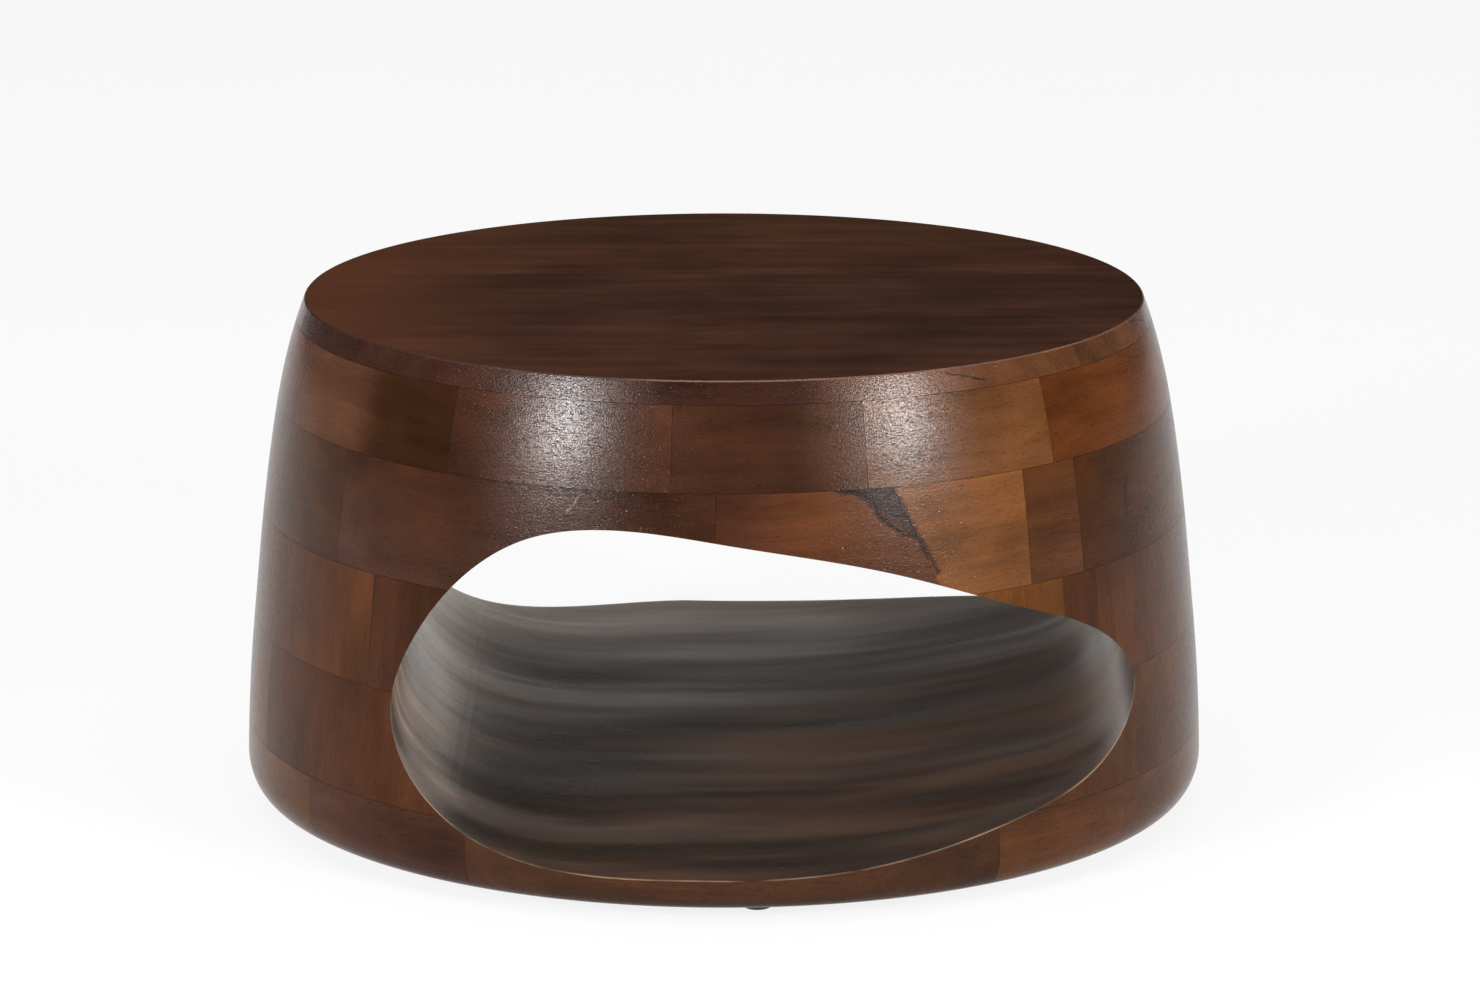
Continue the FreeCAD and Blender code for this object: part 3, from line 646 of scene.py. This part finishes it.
# %% Blocks of the drum
seed = 0
blocks = {}
for course, (azimuths, grain, gloss, tones) in COURSES.items():
    number = 0
    for start, end, tone in zip(azimuths, azimuths[1:], tones):
        if tone is None:
            continue
        number += 1
        seed += 1
        name = f"{course}_{number}"
        middle = (start + end) / 2
        shine = gloss if start < POLISHED_TO and middle < FRONT else min(gloss, SATIN)
        finish = stained_wood(f"walnut_stained_acacia_{name}", tone, grain, middle, seed, specular=shine,
                              marks=MARKS.get(name, ()))
        blocks[name] = finished_block(name, [finish, tunnel_finish, finish, soaked])
print("blocks finished:", len(blocks))
for kind, word in ((OUTSIDE, "outside"), (CARVED, "tunnel"), (JOINT, "joint")):
    areas = {course: sum(p.area for name, block in blocks.items() if name.startswith(course)
                         for p in block.data.polygons if p.material_index == kind) for course in COURSES}
    print(word, "area in square metres:", {course: round(area, 3) for course, area in areas.items()})

# %% [markdown]
# The top is a slab of five boards, edge glued, with the grain running from left to right. It was rubbed
# down to a matt finish, darker than the sides, while its edge was lacquered together with the side of the
# drum. Along the arris between the two the stain is rubbed thin. Its pale tone is also a painted highlight
# of the arris, which a darker patch takes away at the left end.

# %% Top boards
BOARD_TONES = ["#40261a", "#3d2419", "#3b2318", "#44281a", "#422819"]
EDGE_TONES = ["#51301b", "#4e2e1b", "#44291a", "#452a1a", "#452a1a"]
FADED_FROM, FADED_TO = -150 * MM, -360 * MM


def faded_left(tree, place, colour):
    """The left of the top is a little redder and paler, as if light had faded it."""
    along = add(tree, "ShaderNodeSeparateXYZ", {"Vector": place})
    there = add(tree, "ShaderNodeMapRange", {
        "Value": along, "From Min": FADED_FROM, "From Max": FADED_TO, "To Min": 0.0, "To Max": 0.5},
        interpolation_type="SMOOTHSTEP")
    return add(tree, "ShaderNodeMix", {0: there, 6: colour, 7: linear("#603823")}, out=2, data_type="RGBA")


# pale arris: partly rubbed-thin stain and partly a painted highlight; the patch darkens its left end
arris_wear_and_highlight = stained_wood("rubbed_walnut_stained_acacia_arris_painted_highlight", "#64473a", ALONG_X, seed=49,
                     marks=[patch_mark((-8.0, 460), (-8.0, 470), 60, "#64473a", "#3a2820")])
for number, (tone, edge_tone) in enumerate(zip(BOARD_TONES, EDGE_TONES), start=1):
    name = f"top_board_{number}"
    edge = stained_wood(f"walnut_stained_acacia_edge_{number}", edge_tone, ALONG_X, seed=40 + number,
                        specular=0.27, marks=MARKS.get(name, ()))
    top = stained_wood(f"matt_walnut_stained_acacia_top_{number}", tone, ALONG_X, seed=40 + number,
                       specular=0.04, roughness=0.45, depth=0.3, marks=[faded_left])
    blocks[name] = finished_block(name, [edge, edge, top, soaked, arris_wear_and_highlight])
print("top boards finished:", len(BOARD_TONES))

# %% [markdown]
# The crown of the tunnel is one solid piece inside the ring of blocks, and its floor is four planks. Only
# their carved faces can be seen, and those carry the tunnel's finish.

# %% Inside pieces that the tunnel shows
for name in ["roof_core"] + [f"floor_plank_{number}" for number in range(1, 5)]:
    inner = stained_wood(f"walnut_stained_acacia_{name}", "#4b2f21", ALONG_X, seed=60 + len(blocks))
    blocks[name] = finished_block(name, [inner, tunnel_finish, inner, inner])
print("pieces dressed:", len(blocks))

# %% [markdown]
# The levelling feet are nylon pucks moulded in black, on zinc plated steel stems. Moulded nylon is satin
# with a very fine grain. Plated steel is a metal, so it keeps the default index of refraction, and its
# roughness varies in small patches. The battens under the top were left sawn and bare.

# %% Finishes of the small parts
GRIT, GRIT_RELIEF, SPANGLE = 0.8 * MM, 0.1 * MM, 3 * MM
nylon, tree, shader = new_material("black_moulded_nylon", 0.5, 1.53)
place = add(tree, "ShaderNodeTexCoord", out="Object")
grit = add(tree, "ShaderNodeTexNoise", {"Vector": place, "Scale": 1 / GRIT, "Detail": 2.0})
colour = add(tree, "ShaderNodeValToRGB", {"Fac": grit}, stops=[
    (0.3, linear("#0e0e0f")), (0.7, linear("#1b1b1c"))])
tree.links.new(colour, shader.inputs["Base Color"])
rough = add(tree, "ShaderNodeMath", {0: grit, 1: 0.2, 2: 0.38}, operation="MULTIPLY_ADD")
tree.links.new(rough, shader.inputs["Roughness"])
bump = add(tree, "ShaderNodeBump", {"Height": grit, "Strength": 0.4, "Distance": GRIT_RELIEF})
tree.links.new(bump, shader.inputs["Normal"])

steel, tree, shader = new_material("zinc_plated_steel", 0.5)
shader.inputs["Metallic"].default_value = 1.0
place = add(tree, "ShaderNodeTexCoord", out="Object")
spangle = add(tree, "ShaderNodeTexNoise", {"Vector": place, "Scale": 1 / SPANGLE, "Detail": 2.0})
colour = add(tree, "ShaderNodeValToRGB", {"Fac": spangle}, stops=[
    (0.3, linear("#a3a5a8")), (0.7, linear("#c9ccd0"))])
tree.links.new(colour, shader.inputs["Base Color"])
rough = add(tree, "ShaderNodeMath", {0: spangle, 1: 0.25, 2: 0.2}, operation="MULTIPLY_ADD")
tree.links.new(rough, shader.inputs["Roughness"])

bare = stained_wood("sawn_bare_acacia", "#b08a5e", ALONG_Y, seed=70, specular=0.3, roughness=0.7)

# %% Feet, inserts and battens
small_parts = 0
for name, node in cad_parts.items():
    if name.startswith("foot_pad"):
        finish = nylon
    elif name.startswith("foot_stem") or name == "threaded_inserts":
        finish = steel
    elif name == "top_battens":
        finish = bare
    else:
        continue
    node.material_slots[0].material = finish
    small_parts += 1
print("small parts with their finish:", small_parts)

# %% [markdown]
# The studio is a pale floor without an end. A studio photographer would whiten it afterwards. Here the
# floor glows a little of its own, but only for the camera and for reflections, so it puts no light on the
# table and still shows the table's shadow.

# %% Floor
SWEEP_GLOW, FLOOR_RADIUS, PAINT_CLOUD = 0.85, 5.6, 400 * MM
bm = bmesh.new()
bmesh.ops.create_circle(bm, cap_ends=True, segments=96, radius=FLOOR_RADIUS)
floor_mesh = bpy.data.meshes.new("floor")
bm.to_mesh(floor_mesh)
bm.free()
floor = bpy.data.objects.new("floor", floor_mesh)
bpy.context.scene.collection.objects.link(floor)
paint, tree, shader = new_material("matt_studio_floor_paint", 0.2)
place = add(tree, "ShaderNodeTexCoord", out="Object")
grain = add(tree, "ShaderNodeTexNoise", {"Vector": place, "Scale": 1 / PAINT_CLOUD, "Detail": 1.0})
colour = add(tree, "ShaderNodeValToRGB", {"Fac": grain}, stops=[
    (0.3, linear("#efefef")), (0.7, linear("#f1f1f1"))])
tree.links.new(colour, shader.inputs["Base Color"])
shader.inputs["Roughness"].default_value = 0.9
path = tree.nodes.new("ShaderNodeLightPath").outputs
seen = add(tree, "ShaderNodeMath", {
    0: path["Is Camera Ray"], 1: path["Is Glossy Ray"]}, operation="MAXIMUM")
seen = add(tree, "ShaderNodeMath", {0: seen, 1: path["Is Transmission Ray"]}, operation="MAXIMUM")
seen = add(tree, "ShaderNodeMath", {0: seen, 1: SWEEP_GLOW}, operation="MULTIPLY")
glow = add(tree, "ShaderNodeEmission", {"Color": linear("#ffffff"), "Strength": 1.0})
mixed = add(tree, "ShaderNodeMixShader", {0: seen, 1: shader.outputs["BSDF"], 2: glow})
tree.links.new(mixed, tree.nodes["Material Output"].inputs["Surface"])
floor_mesh.materials.append(paint)
floor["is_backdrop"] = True
print("floor radius in metres:", FLOOR_RADIUS)

# %% [markdown]
# A wide sun gives even light from above, and at each side of the front stands a small bright soft box with
# a large dim one behind it. Their reflections are the two highlights on the rim: a bright middle with a
# soft surround. The room itself is dim, so the stain keeps its depth. Three low, warm panels behind the
# table are what the floor of the tunnel reflects. They add no diffuse light, and the camera doesn't see
# them.

# %% Lamps
def lamp(name, kind, strength, place, aim, **settings):
    """A lamp at a place, turned to a point."""
    data = bpy.data.lights.new(name, kind)
    data.energy = strength
    for key, value in settings.items():
        setattr(data, key, value)
    obj = bpy.data.objects.new(name, data)
    bpy.context.scene.collection.objects.link(obj)
    obj.location = place
    obj.rotation_euler = (Vector(aim) - Vector(place)).to_track_quat("-Z", "Y").to_euler()
    return obj


def on_circle(azimuth, distance, height):
    """A place at an azimuth from the front, positive to the right."""
    angle = math.radians(azimuth)
    return (distance * math.sin(angle), -distance * math.cos(angle), height)


AIM = (0, 0, 0.4)          # the middle of the rim
lamp("overhead_light", "SUN", 1.6, (0, 0, 6), (0, 0, 0), angle=math.radians(70))
for name, azimuth, distance, height, strength, width, tall in (
        ("soft_box_left", -40, 4.0, 1.55, 110, 0.6, 0.95),
        ("large_soft_box_left", -40, 4.2, 1.5, 58, 2.2, 1.9),
        ("soft_box_right", 45, 4.0, 1.55, 92, 0.6, 0.95),
        ("large_soft_box_right", 45, 4.2, 1.5, 58, 2.2, 1.9)):
    lamp(name, "AREA", strength, on_circle(azimuth, distance, height), AIM,
         shape="RECTANGLE", size=width, size_y=tall)

# %% Panels behind the table and the dim room
PANEL_WARMTH, ROOM_LIGHT = (1.0, 0.9, 0.82), 0.06
for name, strength, place, width, tall in (
        ("rear_panel_high", 0.3, (-0.2, 1.0, 0.2), 0.6, 0.1),
        ("rear_panel_right", 0.08, (0.21, 1.0, 0.2), 0.22, 0.1),
        ("rear_panel_low", 0.2, (-0.24, 1.0, 0.095), 0.45, 0.11)):
    panel = lamp(name, "AREA", strength, place, (place[0], 0, place[2]),
                 shape="RECTANGLE", size=width, size_y=tall)
    panel.data.color = PANEL_WARMTH
    panel.visible_camera = False
    panel.visible_diffuse = False

world = bpy.data.worlds.new("dim_room")
bpy.context.scene.world = world
world.use_nodes = True
world.node_tree.nodes["Background"].inputs["Color"].default_value = linear("#ffffff")
world.node_tree.nodes["Background"].inputs["Strength"].default_value = ROOM_LIGHT
bpy.context.scene.view_settings.view_transform = "Standard"

# %% Sizes, then the end
low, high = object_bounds()
growth = (high - low) - (cad_high - cad_low)
print("visual model against the CAD box, in mm:", [round(v / MM, 2) for v in growth])
